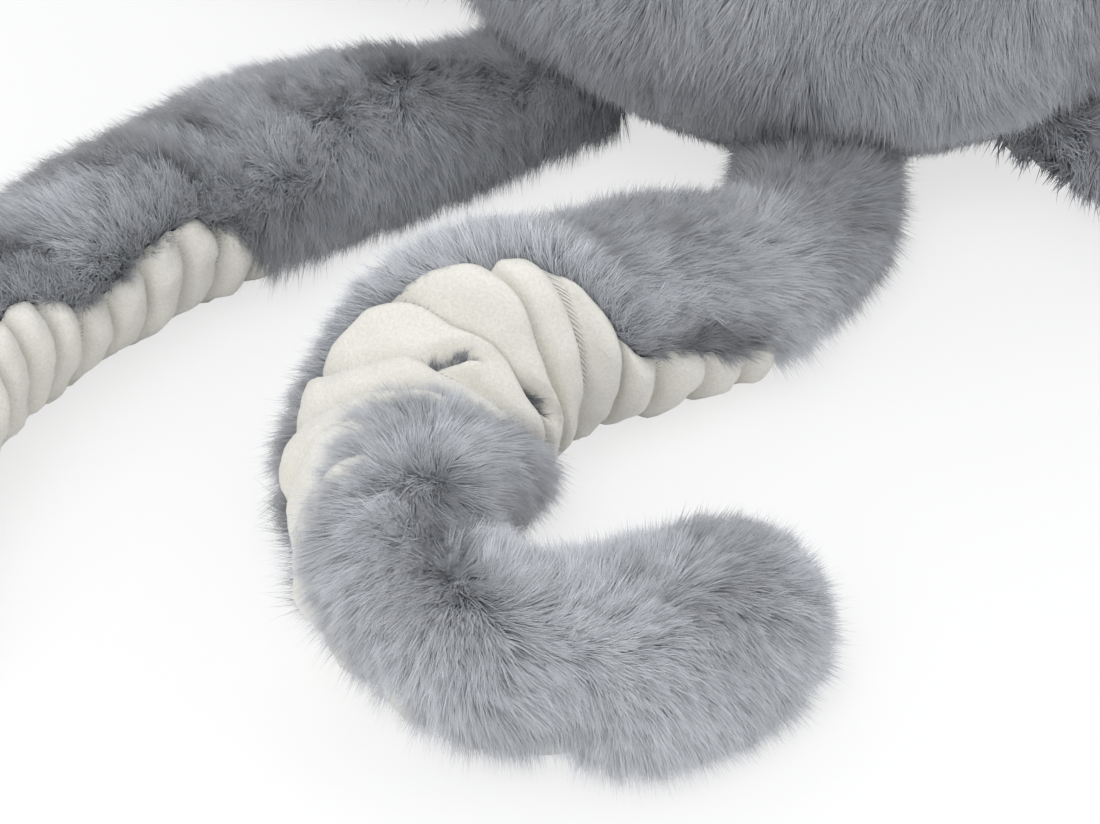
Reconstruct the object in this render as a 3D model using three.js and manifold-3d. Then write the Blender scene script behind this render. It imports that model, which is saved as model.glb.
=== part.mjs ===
// A plush octopus that sits on a flat surface: a squat furry head on eight long soft arms.
// Millimetres, +Z up. The origin is the middle of the flat base panel, on the surface that the toy sits on,
// and the face looks along -Y.
import * as THREE from "three";
import { mergeVertices } from "three/addons/utils/BufferGeometryUtils.js";
import Module from "manifold-3d";

const wasm = await Module();
wasm.setup();

// Gap left between pieces that touch when sewn, and between an arm and its root at the soft hinge.
const SEAM_GAP = 0.4;

// Fabrics: the fur stands this far out of its backing, less where it is pressed between arm and floor,
// and the quilted underside stands this far out at the crest of its ribs.
const PILE = 8;
const PRESSED_PILE = 3;
const RIB_HEIGHT = 4;

// Head: the backing's radius at its widest, its height, and the flat panel that closes it underneath.
const HEAD_RADIUS = 128;
const HEAD_HEIGHT = 226;
const BASE_RADIUS = 72;
const BASE_THICKNESS = 3;
const HEAD_SIDES = 24;
const PANELS = 4;
const PANEL_TURN = 180 / PANELS;
const CROWN_OPENING = 0.5;

// The backing's outline from the base's rim to the crown, as heights in shares of the head's height and
// distances out in shares of the way from the base's rim to the widest line, with how far the pile is raised.
const BELLY = [
  { out: 0, up: 0, raised: 0.35 },
  { out: 0.34, up: 0.045, raised: 0.35 },
  { out: 0.63, up: 0.12, raised: 0.35 },
  { out: 0.83, up: 0.19, raised: 0.4 },
  { out: 0.95, up: 0.27, raised: 0.75 },
  { out: 1, up: 0.37, raised: 1 },
];
// Above the widest line the outline closes to the crown, as shares of the head's radius.
const CROWN = [
  { out: 1, up: 0.58 },
  { out: 0.93, up: 0.7 },
  { out: 0.78, up: 0.82 },
  { out: 0.55, up: 0.92 },
  { out: 0.28, up: 0.98 },
  { out: 0.035, up: 1 },
];

// Bean pouch that weighs the head down, on top of the base panel.
const POUCH_RADIUS = 52;
const POUCH_HEIGHT = 20;
const POUCH_ROUNDING = 8;

// Safety eyes, at a share of the head's height: a dome on the fur side, a shank through the backing and a
// lock washer inside.
const EYE_UP = 0.47;
const EYE_HEIGHT = EYE_UP * HEAD_HEIGHT;
const EYE_TURN = 22.5;
const EYE_RADIUS = 8;
const EYE_DOME = 5;
const DOME_ANGLES = [0, 30, 60];
const EYE_RIM = 1;
const EYE_SINK = 1.5;
const SHANK_RADIUS = 2.5;
const SHANK_LENGTH = 9;
const WASHER_RADIUS = 8.5;
const WASHER_THICKNESS = 2;
const ROUND_SIDES = 20;

// Arms: half width across the ribs, half thickness through them, and length from the hinge to the tip.
const ARM_HALF_WIDTH = 26;
const ARM_HALF_THICKNESS = 20;
const ARM_LENGTH = 345;
const TIP_ROUNDING = 34;
const ROOT_SWELL = 0.66;
const SWELL_LENGTH = 110;
const FUR_REACH = 115;
const FUR_FACETS = 5;
const UNDERSIDE_FACETS = 3;
const ARM_STEPS = 14;
const TIP_ANGLES = [25, 50, 70, 84];

// Soft hinge of each arm, on a ring just inside the head's widest line. The root starts clear of the base.
const HINGE_INSET = 2;
const HINGE_RADIUS = HEAD_RADIUS - HINGE_INSET;
const ROOT_CLEARANCE = 6;
const ROOT_START = BASE_RADIUS + ROOT_CLEARANCE;

// The eight arms in turn round the head, each from its direction in degrees. Along the arm, in equal
// stretches, turns is how far each stretch bends to the left and rolls how far the ribbed side, which faces
// down at the root, has turned to the left by its end. Where an arm is packed thinner or fuller, girths are
// its shares of the usual section at the hinge and at the end of each stretch.
const ARMS = {
  front_left: {
    azimuth: 247.5,
    turns: [-33, -14, -5, 15, 25, 20, 40, 53, 30, 3],
    rolls: [11, 13, 30, 102, 186, 258, 338, 362, 370, 374],
    girths: [1, 1.04, 1.15, 1.16, 1.12, 1, 0.98, 0.9, 0.88, 0.85, 0.85],
  },
  left_front: {
    azimuth: 197.5,
    turns: [-1, 2, 14, 1, 1, 15, 8, 10, 18, 11],
    rolls: [-15, -10, 12, 48, 39, 62, 60, 71, 86, 100],
    girths: [1, 1.1, 1.06, 1.01, 1.02, 1.02, 1.02, 0.99, 0.99, 1.01, 1],
  },
  left_rear: {
    azimuth: 150,
    turns: [-14, -6, 0, -2, -20, -42, -54, -56, -50, -44],
    rolls: [0, -10, -25, -50, -70, -85, -90, -90, -90, -90],
  },
  rear_left: {
    azimuth: 108,
    turns: [4, 2, -3, -14, -28, -40, -48, -50, -46, -38],
    rolls: [0, -10, -30, -60, -80, -88, -90, -90, -90, -90],
  },
  rear_right: {
    azimuth: 67.5,
    turns: [10, 8, -4, -18, -30, -40, -46, -46, -40, -24],
    rolls: [0, -5, -20, -50, -80, -88, -90, -90, -90, -90],
  },
  right_rear: {
    azimuth: 22.5,
    turns: [-4, 6, 10, 0, -18, -36, -46, -46, -42, -36],
    rolls: [0, -5, -15, -45, -70, -85, -90, -90, -90, -90],
  },
  right_front: {
    azimuth: 337.5,
    turns: [8, 10, 0, -12, -30, -44, -46, -46, -40, -30],
    rolls: [0, -5, -20, -50, -75, -88, -90, -90, -90, -90],
  },
  front_right: {
    azimuth: 292.5,
    turns: [10, 14, 16, 4, -16, -36, -46, -46, -46, -40],
    rolls: [-5, -15, -30, -60, -80, -90, -90, -90, -90, -90],
  },
};

const FUR = { color: 0x989da5, roughness: 0.95, metalness: 0 };
const RIBBED = { color: 0xe4e2da, roughness: 0.9, metalness: 0 };
const FILLING = { color: 0xf2f2ee, roughness: 1, metalness: 0 };
const CALICO = { color: 0xd8d2c2, roughness: 0.9, metalness: 0 };
const EYE = { color: 0x16161a, roughness: 0.12, metalness: 0 };
const WASHER = { color: 0xd9dce0, roughness: 0.5, metalness: 0 };

const radians = THREE.MathUtils.degToRad;
const octopus = new THREE.Group();

function addPiece(name, geometry, look) {
  const mesh = new THREE.Mesh(geometry, new THREE.MeshStandardMaterial(look));
  mesh.name = name;
  octopus.add(mesh);
  return mesh;
}

// Booleans on closed meshes.
function solidOf(geometry) {
  const bare = geometry.clone();
  bare.deleteAttribute("normal");
  bare.deleteAttribute("uv");
  const merged = mergeVertices(bare, 1e-3);
  return new wasm.Manifold(
    new wasm.Mesh({
      numProp: 3,
      vertProperties: merged.attributes.position.array,
      triVerts: new Uint32Array(merged.index.array),
    }),
  );
}

function geometryOf(solid) {
  const mesh = solid.getMesh();
  const made = new THREE.BufferGeometry();
  made.setAttribute(
    "position",
    new THREE.BufferAttribute(new Float32Array(mesh.vertProperties), 3),
  );
  made.setIndex(new THREE.BufferAttribute(new Uint32Array(mesh.triVerts), 1));
  return made;
}

// A closed body through rings of points that each go once round a section. Each face is split so that a
// roll to the left, or to the right, folds outwards. Past the point where a thin section turns back along
// itself the split is the other one, so that both its sides and what lies under it fold alike. Neighbours
// across the section close each end.
function loft(rings, rollsLeft = true, turnsBack = rings[0].length) {
  const size = rings[0].length;
  const positions = rings.flat().flatMap((point) => [point.x, point.y, point.z]);
  const faces = [];
  for (let row = 0; row + 1 < rings.length; row++)
    for (let i = 0; i < size; i++) {
      const next = (i + 1) % size;
      const [a, b] = [row * size + i, row * size + next];
      if (i < turnsBack === rollsLeft) faces.push(a, b + size, b, a, a + size, b + size);
      else faces.push(a, a + size, b, b, a + size, b + size);
    }
  const last = (rings.length - 1) * size;
  for (let i = 0; i < size / 2 - 1; i++) {
    const [near, nearNext] = [i, i + 1];
    const [far, farNext] = [size - 1 - i, size - 2 - i];
    faces.push(near, nearNext, farNext, near, farNext, far);
    faces.push(last + near, last + farNext, last + nearNext);
    faces.push(last + near, last + far, last + farNext);
  }
  const made = new THREE.BufferGeometry();
  made.setAttribute("position", new THREE.Float32BufferAttribute(positions, 3));
  made.setIndex(faces.flat());
  return made;
}

// Head: the outline as points of a turned body, the backing moved out by a share of the pile.
function headOutline(pile, clearance) {
  const belly = BELLY.map((point) => ({
    r: BASE_RADIUS + point.out * (HEAD_RADIUS - BASE_RADIUS),
    z: point.up * HEAD_HEIGHT,
    raised: point.raised,
  }));
  const crown = CROWN.map((point) => ({
    r: point.out * HEAD_RADIUS,
    z: point.up * HEAD_HEIGHT,
    raised: 1,
  }));
  const points = [...belly, ...crown];
  return points.map((point, i) => {
    const before = points[Math.max(i - 1, 0)];
    const after = points[Math.min(i + 1, points.length - 1)];
    const along = new THREE.Vector2(after.r - before.r, after.z - before.z).normalize();
    const out = pile * point.raised + clearance;
    return new THREE.Vector2(
      Math.max(point.r + along.y * out, CROWN_OPENING),
      Math.max(point.z - along.x * out, 0),
    );
  });
}

// A body turned about Z with a facet's corner at each panel's seam.
function turned(points, sides = HEAD_SIDES) {
  const made = new THREE.LatheGeometry(points, sides);
  made.rotateX(Math.PI / 2);
  return made;
}

function closedToAxis(points) {
  const first = points[0];
  const last = points[points.length - 1];
  return [new THREE.Vector2(0, first.y), ...points, new THREE.Vector2(0, last.y)];
}

const backing = headOutline(0, 0);
const furFace = headOutline(PILE, 0);
const insideBacking = headOutline(0, -SEAM_GAP);
const headEnvelope = solidOf(turned(closedToAxis(headOutline(PILE, SEAM_GAP))));

// Distance out to the middle of one facet of the head at the widest line, where the eyes sit.
const FACET_IN = Math.cos(Math.PI / HEAD_SIDES);
const eyeFaceRadius = HEAD_RADIUS * FACET_IN;

// A round piece about +X, from a profile of distances out and places along it.
function roundPiece(profile, place, azimuth, height) {
  const points = profile.map(([r, x]) => new THREE.Vector2(r, x));
  const made = new THREE.LatheGeometry(points, ROUND_SIDES);
  made.rotateZ(-Math.PI / 2);
  made.translate(place, 0, 0);
  made.rotateZ(radians(azimuth));
  made.translate(0, 0, height);
  return made;
}

function eyeProfile(clearance) {
  const rim = EYE_RADIUS + clearance;
  const shank = SHANK_RADIUS + clearance;
  const end = SHANK_LENGTH + clearance;
  const points = [[0, -end], [shank, -end], [shank, EYE_SINK - clearance], [rim, EYE_SINK - clearance]];
  for (const angle of DOME_ANGLES) {
    const [c, s] = [Math.cos(radians(angle)), Math.sin(radians(angle))];
    points.push([rim * c, EYE_SINK + EYE_RIM + EYE_DOME * s]);
  }
  points.push([0, EYE_SINK + EYE_RIM + EYE_DOME]);
  return points;
}

// The eye's well through the pile is as wide as the eye all the way out.
function eyeWellProfile() {
  const rim = EYE_RADIUS + SEAM_GAP;
  const shank = SHANK_RADIUS + SEAM_GAP;
  const far = PILE * 2;
  return [[0, -SHANK_LENGTH], [shank, -SHANK_LENGTH], [shank, EYE_SINK - SEAM_GAP],
    [rim, EYE_SINK - SEAM_GAP], [rim, far], [0, far]];
}

const washerFace = -SEAM_GAP;
function washerProfile(clearance, bore) {
  const rim = WASHER_RADIUS + clearance;
  const [front, back] = [washerFace + clearance, washerFace - WASHER_THICKNESS - clearance];
  if (!bore) return [[0, back], [rim, back], [rim, front], [0, front]];
  return [[bore, back], [rim, back], [rim, front], [bore, front], [bore, back]];
}

const EYES = { left: 270 - EYE_TURN, right: 270 + EYE_TURN };

// The space of one panel of the head, short of its neighbours by a gap along each side.
function wedge(middle, halfAngle, gap) {
  const far = HEAD_RADIUS * 2;
  const outline = new THREE.Shape();
  const side = Math.tan(radians(halfAngle)) * far;
  const start = gap / Math.sin(radians(halfAngle));
  outline.moveTo(start, 0);
  outline.lineTo(far + start, -side);
  outline.lineTo(far + start, side);
  const made = new THREE.ExtrudeGeometry(outline, { depth: HEAD_HEIGHT * 2, bevelEnabled: false });
  made.translate(0, 0, -HEAD_HEIGHT / 2);
  made.rotateZ(radians(middle));
  return solidOf(made);
}

function addHead() {
  const shellOutline = [...furFace, ...[...backing].reverse(), furFace[0]];
  let shell = solidOf(turned(shellOutline));
  let filling = solidOf(turned(closedToAxis(insideBacking)));
  for (const azimuth of Object.values(EYES)) {
    const well = roundPiece(eyeWellProfile(), eyeFaceRadius, azimuth, EYE_HEIGHT);
    shell = shell.subtract(solidOf(well));
    const room = roundPiece(eyeProfile(SEAM_GAP), eyeFaceRadius, azimuth, EYE_HEIGHT);
    const washerRoom = roundPiece(washerProfile(SEAM_GAP), eyeFaceRadius, azimuth, EYE_HEIGHT);
    filling = filling.subtract(solidOf(room)).subtract(solidOf(washerRoom));
  }
  const names = ["head_panel_right", "head_panel_back", "head_panel_left", "head_panel_face"];
  for (let i = 0; i < PANELS; i++) {
    const cut = wedge((i * 360) / PANELS, PANEL_TURN, SEAM_GAP / 2);
    addPiece(names[i], geometryOf(shell.intersect(cut)), FUR);
  }

  const floor = BASE_THICKNESS + SEAM_GAP;
  const underFilling = new THREE.CylinderGeometry(HEAD_RADIUS, HEAD_RADIUS, floor, HEAD_SIDES);
  underFilling.rotateX(Math.PI / 2);
  underFilling.translate(0, 0, floor / 2);
  filling = filling.subtract(solidOf(underFilling));
  filling = filling.subtract(solidOf(turned(pouchOutline(SEAM_GAP, BASE_THICKNESS), ROUND_SIDES)));
  addPiece("head_stuffing", geometryOf(filling), FILLING);

  const pouch = turned(pouchOutline(0, floor), ROUND_SIDES);
  addPiece("bean_pouch", geometryOf(solidOf(pouch)), CALICO);

  const rim = BASE_RADIUS * FACET_IN - SEAM_GAP;
  const base = new THREE.CylinderGeometry(rim, rim, BASE_THICKNESS, HEAD_SIDES);
  base.rotateX(Math.PI / 2);
  base.translate(0, 0, BASE_THICKNESS / 2);
  addPiece("base_panel", base, RIBBED);
}

// The pouch rests on the base panel, and the room for it opens down to the panel.
function pouchOutline(clearance, bottom) {
  const r = POUCH_RADIUS + clearance;
  const top = BASE_THICKNESS + SEAM_GAP + POUCH_HEIGHT + clearance;
  return [
    new THREE.Vector2(0, bottom),
    new THREE.Vector2(r - POUCH_ROUNDING, bottom),
    new THREE.Vector2(r, bottom + POUCH_ROUNDING),
    new THREE.Vector2(r, top - POUCH_ROUNDING),
    new THREE.Vector2(r - POUCH_ROUNDING, top),
    new THREE.Vector2(0, top),
  ];
}

function addEyes() {
  for (const [side, azimuth] of Object.entries(EYES)) {
    addPiece(`eye_${side}`, roundPiece(eyeProfile(0), eyeFaceRadius, azimuth, EYE_HEIGHT), EYE);
    const ring = washerProfile(0, SHANK_RADIUS + SEAM_GAP);
    addPiece(`eye_washer_${side}`, roundPiece(ring, eyeFaceRadius, azimuth, EYE_HEIGHT), WASHER);
  }
}

// Arms. A route is the middle line of one arm on the surface, with its direction, its roll and how far it
// has swollen. It is worked out in small steps along equal stretches that each bend by one turn.
const ROUTE_STEP = 1;
const EVEN_GIRTH = 1;

function routeOf(arm) {
  const stretch = ARM_LENGTH / arm.turns.length;
  const rolls = [0, ...arm.rolls];
  const girths = arm.girths ?? rolls.map(() => EVEN_GIRTH);
  let heading = radians(arm.azimuth);
  const place = new THREE.Vector3(Math.cos(heading), Math.sin(heading), 0).multiplyScalar(HINGE_RADIUS);
  const marks = [];
  const steps = Math.round(ARM_LENGTH / ROUTE_STEP);
  for (let step = 0; step <= steps; step++) {
    const s = step * ROUTE_STEP;
    const i = Math.min(Math.floor(s / stretch), arm.turns.length - 1);
    const along = s - i * stretch;
    const eased = THREE.MathUtils.smoothstep(along, 0, stretch);
    const roll = radians(THREE.MathUtils.lerp(rolls[i], rolls[i + 1], eased));
    const girth = THREE.MathUtils.lerp(girths[i], girths[i + 1], along / stretch);
    marks.push({ x: place.x, y: place.y, heading, roll, girth });
    heading += (radians(arm.turns[i]) * ROUTE_STEP) / stretch;
    place.x += Math.cos(heading) * ROUTE_STEP;
    place.y += Math.sin(heading) * ROUTE_STEP;
  }
  const markAt = (s) => {
    const at = THREE.MathUtils.clamp(s / ROUTE_STEP, 0, marks.length - 1);
    const step = Math.min(Math.floor(at), marks.length - 2);
    const [before, after] = [marks[step], marks[step + 1]];
    const share = at - step;
    const mix = (key) => THREE.MathUtils.lerp(before[key], after[key], share);
    return { x: mix("x"), y: mix("y"), heading: mix("heading"), roll: mix("roll"), girth: mix("girth") };
  };
  return { markAt, rollsLeft: rolls[rolls.length - 1] > 0 };
}

function swellAt(s) {
  return ROOT_SWELL + (1 - ROOT_SWELL) * THREE.MathUtils.smoothstep(s, 0, SWELL_LENGTH);
}

// The section's middle, and its own back and side directions. The arm lies on its pressed fur.
function sectionFrame(mark, s) {
  const swell = swellAt(s) * mark.girth;
  const [cosine, sine] = [Math.cos(mark.roll), Math.sin(mark.roll)];
  const support = Math.hypot(ARM_HALF_WIDTH * swell * sine, ARM_HALF_THICKNESS * swell * cosine);
  const left = new THREE.Vector3(-Math.sin(mark.heading), Math.cos(mark.heading), 0);
  const up = new THREE.Vector3(0, 0, 1);
  return {
    middle: new THREE.Vector3(mark.x, mark.y, support + PRESSED_PILE),
    back: up.clone().multiplyScalar(cosine).addScaledVector(left, -sine),
    side: left.clone().multiplyScalar(cosine).addScaledVector(up, sine),
    swell,
  };
}

// A point of the section at an angle from the middle of the fur side, moved out of the backing by some depth.
function sectionPoint(frame, angle, out, closing) {
  const [c, s] = [Math.cos(radians(angle)), Math.sin(radians(angle))];
  const depth = (ARM_HALF_THICKNESS * frame.swell + out) * closing;
  const breadth = (ARM_HALF_WIDTH * frame.swell + out) * closing;
  return frame.middle
    .clone()
    .addScaledVector(frame.back, depth * c)
    .addScaledVector(frame.side, breadth * s);
}

// Places along the arm: equal steps, then the rounding of the tip. A layer further in ends earlier.
function stations(out) {
  const end = ARM_LENGTH - PILE + out;
  const rounding = TIP_ROUNDING - PILE + out;
  const straight = end - rounding;
  const made = [];
  for (let i = 0; i <= ARM_STEPS; i++) made.push({ s: (straight * i) / ARM_STEPS, closing: 1 });
  for (const angle of TIP_ANGLES)
    made.push({ s: straight + rounding * Math.sin(radians(angle)), closing: Math.cos(radians(angle)) });
  return made;
}

function spread(from, to, facets) {
  return Array.from({ length: facets + 1 }, (_, i) => from + ((to - from) * i) / facets);
}

const clearOfFloor = (point) => point.setZ(Math.max(point.z, 0));

const furAngles = spread(-FUR_REACH, FUR_REACH, FUR_FACETS);
const undersideAngles = spread(FUR_REACH, 360 - FUR_REACH, UNDERSIDE_FACETS);

// The two skins keep the seam's gap between their edges, also where the tip closes.
function trimmed(angles, closing) {
  const half = THREE.MathUtils.radToDeg(SEAM_GAP / 2 / (ARM_HALF_THICKNESS * ROOT_SWELL * closing));
  const made = [...angles];
  made[0] += half;
  made[made.length - 1] -= half;
  return made;
}

// One corner of a layer: the step along the arm, the angle round it, and how far out of the backing it is.
function layerPoint(route, step, angle, out) {
  const station = stations(out)[step];
  const frame = sectionFrame(route.markAt(station.s), station.s);
  return sectionPoint(frame, angle, out, station.closing);
}

const LAYER_STEPS = stations(0).map((station, step) => ({ step, closing: station.closing }));

// A skin over the stuffing: its outer face runs one way round the section and its backing runs back. The
// pile of a fur skin thins to the height of the ribs along the seam.
function skin(route, angles, out) {
  return loft(
    LAYER_STEPS.map(({ step, closing }) => {
      const cut = trimmed(angles, closing);
      const atSeam = (i) => i === 0 || i === cut.length - 1;
      const face = cut.map((a, i) => clearOfFloor(layerPoint(route, step, a, atSeam(i) ? RIB_HEIGHT : out)));
      const back = cut.map((a) => layerPoint(route, step, a, 0));
      return [...face, ...back.reverse()];
    }),
    route.rollsLeft,
    angles.length,
  );
}

function stuffing(route) {
  const round = [...furAngles, ...undersideAngles.slice(1, -1)];
  const rings = LAYER_STEPS.map(({ step }) => round.map((a) => layerPoint(route, step, a, -SEAM_GAP)));
  return loft(rings, route.rollsLeft);
}

// The root of an arm is sewn into the head's underside and runs straight out to the hinge.
function root(arm) {
  const heading = radians(arm.azimuth);
  const rings = [ROOT_START, HINGE_RADIUS - SEAM_GAP].map((r) => {
    const [x, y] = [r * Math.cos(heading), r * Math.sin(heading)];
    const mark = { x, y, heading, roll: 0, girth: EVEN_GIRTH };
    const frame = sectionFrame(mark, 0);
    return [
      ...furAngles.map((a) => clearOfFloor(sectionPoint(frame, a, PILE, 1))),
      ...undersideAngles.slice(1, -1).map((a) => clearOfFloor(sectionPoint(frame, a, RIB_HEIGHT, 1))),
    ];
  });
  return geometryOf(solidOf(loft(rings)).subtract(headEnvelope));
}

function addArms() {
  for (const [name, arm] of Object.entries(ARMS)) {
    const route = routeOf(arm);
    addPiece(`${name}_arm_root`, root(arm), FUR);
    addPiece(`${name}_arm_fur`, skin(route, furAngles, PILE), FUR);
    addPiece(`${name}_arm_underside`, skin(route, undersideAngles, RIB_HEIGHT), RIBBED);
    addPiece(`${name}_arm_stuffing`, stuffing(route), FILLING);
  }
}

addHead();
addEyes();
addArms();

export default octopus;
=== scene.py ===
import bpy
import numpy as np
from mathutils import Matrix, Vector


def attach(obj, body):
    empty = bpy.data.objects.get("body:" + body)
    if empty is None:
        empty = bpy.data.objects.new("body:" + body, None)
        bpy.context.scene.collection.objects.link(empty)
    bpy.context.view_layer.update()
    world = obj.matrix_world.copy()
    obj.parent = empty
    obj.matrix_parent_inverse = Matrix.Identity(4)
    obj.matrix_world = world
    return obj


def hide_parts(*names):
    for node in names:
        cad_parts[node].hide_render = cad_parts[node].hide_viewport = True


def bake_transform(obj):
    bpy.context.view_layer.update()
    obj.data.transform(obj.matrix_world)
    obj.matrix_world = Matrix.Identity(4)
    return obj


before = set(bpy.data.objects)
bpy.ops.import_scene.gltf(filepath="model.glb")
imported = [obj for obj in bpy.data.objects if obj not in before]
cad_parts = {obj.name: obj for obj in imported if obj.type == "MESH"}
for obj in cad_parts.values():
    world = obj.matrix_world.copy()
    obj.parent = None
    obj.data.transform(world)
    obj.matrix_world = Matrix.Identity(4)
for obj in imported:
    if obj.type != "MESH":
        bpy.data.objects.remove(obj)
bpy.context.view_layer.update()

# Camera: a long lens a little to the left of the face, looking down on the near left arms.
camera_data = bpy.data.cameras.new("camera")
camera = bpy.data.objects.new("camera", camera_data)
bpy.context.scene.collection.objects.link(camera)
bpy.context.scene.camera = camera
camera.location = (-0.3335, -0.8090, 0.5195)
camera_aim = Vector((-0.1545, -0.2046, 0.0270))
camera.rotation_euler = (camera_aim - camera.location).to_track_quat("-Z", "Y").to_euler()
camera_data.sensor_width = 36
camera_data.lens = 100.7
camera_data.clip_start = 0.02
camera_data.clip_end = 20
bpy.context.scene.view_settings.view_transform = "Standard"


# Helpers for points and meshes.
def unit(v):
    return v / np.maximum(np.linalg.norm(v, axis=-1, keepdims=True), 1e-12)


def smooth(x, low=0.0, high=1.0):
    t = np.clip((x - low) / (high - low), 0, 1)
    return t * t * (3 - 2 * t)


def mix(a, b, share):
    return a + (b - a) * share


LOW_BITS = 0xFFFFFFFF
SCRAMBLERS = (73856093, 19349663, 83492791, 2654435761)
MIXERS = (2246822519, 3266489917)


def scrambled(*whole):
    """Whole numbers of 32 bits that look random, each fixed by up to four others."""
    h = whole[0] * SCRAMBLERS[0]
    for number, scrambler in zip(whole[1:], SCRAMBLERS[1:]):
        h = h ^ number * scrambler
    h = h & LOW_BITS
    h = (h ^ h >> 15) * MIXERS[0] & LOW_BITS
    return (h ^ h >> 13) * MIXERS[1] & LOW_BITS


def noise(points, size, seed):
    """Smooth value noise from -1 to 1 at points, with lumps of that size."""
    q = np.asarray(points, float) / size
    cell = np.floor(q).astype(np.int64)
    f = q - cell
    f = f * f * (3 - 2 * f)
    total = np.zeros(len(q))
    for corner in range(8):
        offset = np.array([corner & 1, corner >> 1 & 1, corner >> 2 & 1])
        c = cell + offset
        h = scrambled(c[:, 0], c[:, 1], c[:, 2], seed)
        h = h ^ h >> 16
        total += np.prod(np.where(offset, f, 1 - f), axis=1) * (h / 2147483648.0 - 1)
    return total


def mesh_object(name, vertices, polygons, material):
    """A smooth-shaded mesh from arrays. Each item of polygons holds faces of one corner count, a row each."""
    mesh = bpy.data.meshes.new(name)
    corners = np.concatenate([p.ravel() for p in polygons]).astype(np.int32)
    counts = np.concatenate([np.full(len(p), p.shape[1]) for p in polygons])
    starts = np.concatenate([[0], np.cumsum(counts)[:-1]]).astype(np.int32)
    mesh.vertices.add(len(vertices))
    mesh.vertices.foreach_set("co", np.asarray(vertices, np.float32).ravel())
    mesh.loops.add(len(corners))
    mesh.loops.foreach_set("vertex_index", corners)
    mesh.polygons.add(len(starts))
    mesh.polygons.foreach_set("loop_start", starts)
    mesh.polygons.foreach_set("use_smooth", np.full(len(starts), True))
    mesh.update(calc_edges=True)
    mesh.materials.append(material)
    made = bpy.data.objects.new(name, mesh)
    bpy.context.scene.collection.objects.link(made)
    return made


def grid_faces(rows, columns, around=False):
    """Quads of a grid of points that are numbered row by row."""
    i = np.arange(rows - 1)[:, None] * columns
    j = np.arange(columns if around else columns - 1)[None, :]
    k = (j + 1) % columns
    return np.stack([i + j, i + k, i + columns + k, i + columns + j], -1).reshape(-1, 4)


# Materials.
def new_material(name, roughness, specular=0.3, sheen=0.0, sheen_roughness=0.5):
    material = bpy.data.materials.new(name)
    material.use_nodes = True
    shader = material.node_tree.nodes["Principled BSDF"]
    shader.inputs["Roughness"].default_value = roughness
    shader.inputs["Specular IOR Level"].default_value = specular
    shader.inputs["Sheen Weight"].default_value = sheen
    shader.inputs["Sheen Roughness"].default_value = sheen_roughness
    return material, material.node_tree, shader


def ramp(tree, source, stops):
    node = tree.nodes.new("ShaderNodeValToRGB")
    elements = node.color_ramp.elements
    while len(elements) < len(stops):
        elements.new(0.5)
    for element, (place, colour) in zip(elements, stops):
        element.position = place
        element.color = (*colour, 1)
    tree.links.new(source, node.inputs["Fac"])
    return node.outputs["Color"]


def noise_node(tree, scale, detail=3.0):
    place = tree.nodes.new("ShaderNodeTexCoord")
    node = tree.nodes.new("ShaderNodeTexNoise")
    node.inputs["Scale"].default_value = scale
    node.inputs["Detail"].default_value = detail
    tree.links.new(place.outputs["Object"], node.inputs["Vector"])
    return node.outputs["Fac"]


def bump(tree, shader, height, strength, distance):
    node = tree.nodes.new("ShaderNodeBump")
    node.inputs["Strength"].default_value = strength
    node.inputs["Distance"].default_value = distance
    tree.links.new(height, node.inputs["Height"])
    tree.links.new(node.outputs["Normal"], shader.inputs["Normal"])


def multiplied(tree, a, b):
    node = tree.nodes.new("ShaderNodeMix")
    node.data_type = "RGBA"
    node.blend_type = "MULTIPLY"
    node.inputs["Factor"].default_value = 1
    tree.links.new(a, node.inputs["A"])
    tree.links.new(b, node.inputs["B"])
    return node.outputs["Result"]


def palette_material(name, along, across, roughness, sheen):
    """Hairs: one colour ramp from root to tip, and one across the tints of the hairs."""
    material, tree, shader = new_material(name, roughness, 0.25, sheen)
    place = tree.nodes.new("ShaderNodeUVMap")
    place.uv_map = "OFBake"
    split = tree.nodes.new("ShaderNodeSeparateXYZ")
    tree.links.new(place.outputs["UV"], split.inputs["Vector"])
    up = ramp(tree, split.outputs["Y"], along)
    tint = ramp(tree, split.outputs["X"], across)
    tree.links.new(multiplied(tree, up, tint), shader.inputs["Base Color"])
    return material


# The ramp from root to tip darkens the hairs towards the root as painted shade, where the pile shades itself,
# and lightens them towards the tips.
FUR_HAIR = palette_material(
    "fur_hair",
    [
        (0.0, (0.24, 0.245, 0.26)),
        (0.3, (0.42, 0.435, 0.455)),
        (0.7, (0.64, 0.65, 0.675)),
        (1.0, (0.83, 0.84, 0.865)),
    ],
    [(0.0, (0.58, 0.59, 0.61)), (0.5, (0.95, 0.96, 0.98)), (1.0, (1.2, 1.2, 1.2))],
    0.7,
    0.2,
)


# The backing's dark grey is painted shade deep in the pile, as dark as the hairs' roots.
def hide_material():
    material, tree, shader = new_material("fur_backing", 0.95, 0.1, 0.1)
    cells = noise_node(tree, 260, 4)
    tree.links.new(
        ramp(tree, cells, [(0.3, (0.20, 0.21, 0.225)), (0.7, (0.32, 0.33, 0.35))]),
        shader.inputs["Base Color"],
    )
    bump(tree, shader, cells, 0.6, 0.0008)
    return material


def ribbed_material():
    material, tree, shader = new_material("ribbed_velour", 0.92, 0.15, 0.35, 0.4)
    fine = noise_node(tree, 1300, 4)
    broad = noise_node(tree, 45, 3)
    colour = multiplied(
        tree,
        ramp(tree, fine, [(0.25, (0.69, 0.67, 0.62)), (0.65, (0.80, 0.78, 0.725))]),
        ramp(tree, broad, [(0.3, (0.97, 0.965, 0.95)), (0.7, (1, 1, 1))]),
    )
    tree.links.new(colour, shader.inputs["Base Color"])
    bump(tree, shader, fine, 0.6, 0.0004)
    return material


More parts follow.
